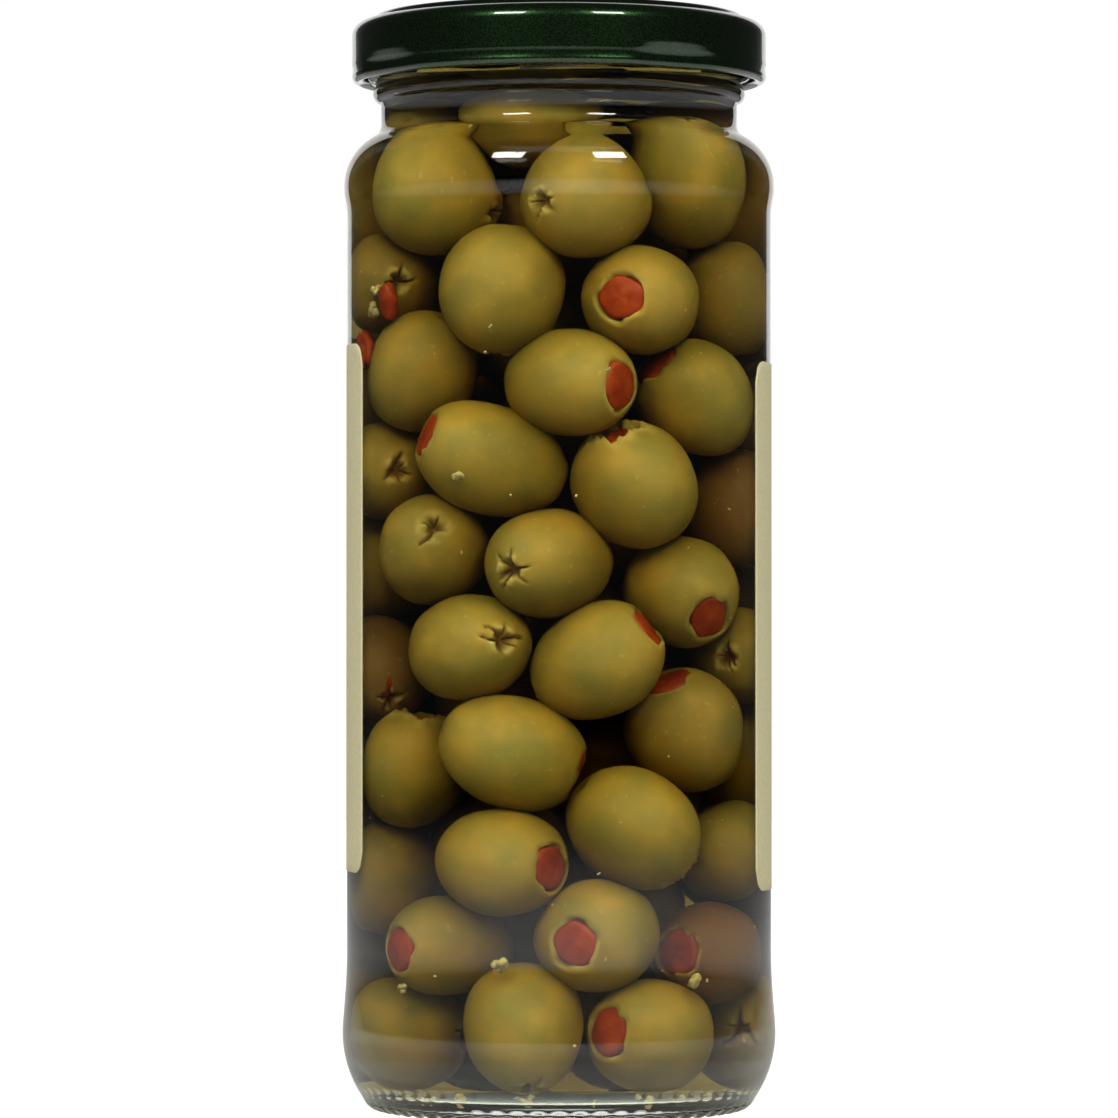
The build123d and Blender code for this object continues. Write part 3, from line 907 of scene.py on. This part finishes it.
def white_table():
    """A matt white table, whose far parts fade from reflections and which looks white where it is seen."""
    corners = [(-TABLE_HALF, NEAR, 0), (TABLE_HALF, NEAR, 0), (TABLE_HALF, FAR, 0), (-TABLE_HALF, FAR, 0)]
    table = make_mesh("table", corners, [(0, 1, 2, 3)], smooth=False)
    material, tree, out = new_material("white_table")
    place = add(tree, "ShaderNodeTexCoord")
    apart = add(tree, "ShaderNodeVectorMath", {0: place.outputs["Object"]}, operation="LENGTH")
    fade = add(tree, "ShaderNodeMapRange", {"Value": apart.outputs["Value"]})
    fade.interpolation_type = "SMOOTHSTEP"
    fade.inputs["From Min"].default_value = 0.1
    fade.inputs["From Max"].default_value = 1.8
    path = add(tree, "ShaderNodeLightPath")
    sheen = add(tree, "ShaderNodeMath", {0: fade.outputs[0], 1: path.outputs["Is Glossy Ray"]},
                operation="MULTIPLY")
    tone = add(tree, "ShaderNodeMix", {"Factor": sheen.outputs[0]}, data_type="RGBA")
    tone.inputs["A"].default_value = (TABLE_GREY, TABLE_GREY, TABLE_GREY, 1)
    tone.inputs["B"].default_value = (0.0, 0.0, 0.0, 1)
    matt = add(tree, "ShaderNodeBsdfDiffuse", {"Color": tone.outputs["Result"]})
    # Close round the foot the white is also there in what the glass mirrors inside itself
    under = add(tree, "ShaderNodeMapRange", {"Value": apart.outputs["Value"]})
    for name, value in (("From Min", 0.06), ("From Max", 0.5), ("To Min", 1.0), ("To Max", 0.0)):
        under.inputs[name].default_value = value
    foot = add(tree, "ShaderNodeMath", {0: looked_at(tree, True), 1: under.outputs[0]},
               operation="MULTIPLY")
    whole = add(tree, "ShaderNodeMath", {0: looked_at(tree), 1: foot.outputs[0]}, operation="MAXIMUM")
    lift = add(tree, "ShaderNodeMath", {0: whole.outputs[0]}, operation="MULTIPLY")
    lift.inputs[1].default_value = 0.6
    glow = add(tree, "ShaderNodeEmission", {"Strength": lift.outputs[0]}, Color=(1, 1, 1, 1))
    both = add(tree, "ShaderNodeAddShader", {0: matt.outputs[0], 1: glow.outputs[0]})
    tree.links.new(both.outputs[0], out.inputs["Surface"])
    table.data.materials.append(material)
    return table


def soft_box(place, size, power):
    """A rectangular lamp that faces the middle of the jar, in metres and watts."""
    data = bpy.data.lights.new("soft_box", "AREA")
    data.shape = "RECTANGLE"
    data.size, data.size_y = size
    data.energy = power
    lamp = bpy.data.objects.new("soft_box", data)
    lamp.location = place
    aim = Vector((0, 0, JAR_MIDDLE)) - lamp.location
    lamp.rotation_euler = aim.to_track_quat("-Z", "Y").to_euler()
    bpy.context.scene.collection.objects.link(lamp)
    return lamp


def lamps():
    """Two soft boxes in front, high to the left and right, and a wide one overhead."""
    turn, high = math.radians(29.5), math.radians(37)
    for side in (-1, 1):
        across = side * math.sin(turn) * math.cos(high)
        place = (across, -math.cos(turn) * math.cos(high), math.sin(high) + JAR_MIDDLE)
        soft_box(place, (0.26, 0.19), 3.9)
    # The wide one whitens the table, which throws light up into the foot of the jar
    overhead = soft_box((0, -0.25, 1.2), (0.8, 0.6), 5.0)
    overhead.visible_glossy = False


def camera():
    """Level with the middle of the jar and turned up a little."""
    data = bpy.data.cameras.new("camera")
    data.sensor_width = 36.0
    data.lens = 180.9
    data.clip_end = 20
    seen = bpy.data.objects.new("camera", data)
    seen.location = (0, -CAMERA_AWAY, CAMERA_HEIGHT)
    seen.rotation_euler = (math.radians(90 + CAMERA_TILT), 0, 0)
    bpy.context.scene.collection.objects.link(seen)
    bpy.context.scene.camera = seen


# ---- Build ----
def dress(piece, material, slot, *nodes):
    """Gives a piece its material and the CAD nodes it stands for; slot is not used."""
    if material:
        piece.data.materials.append(material)
    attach(piece, "root")
    if nodes:
        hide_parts(*nodes)


olives, plugs = stuffed_olives()
dress(jar_glass(), None, "glass", "jar")
dress(brine_body(), olive_brine(), "olives_in_brine", "olives_in_brine")
dress(olives, olive_skin(), "olives_in_brine")
dress(plugs, pimiento(), "olives_in_brine")
dress(flesh_crumbs(), olive_crumb(), "olives_in_brine")
dress(drawn_lid(), lacquered_tinplate(), "lid_lacquer", "lid")
dress(paper_label(), uncoated_paper(), "label_paper", "label")
studio_air()
white_backdrop()
white_table()
lamps()
camera()
bpy.context.scene.view_settings.view_transform = "Standard"
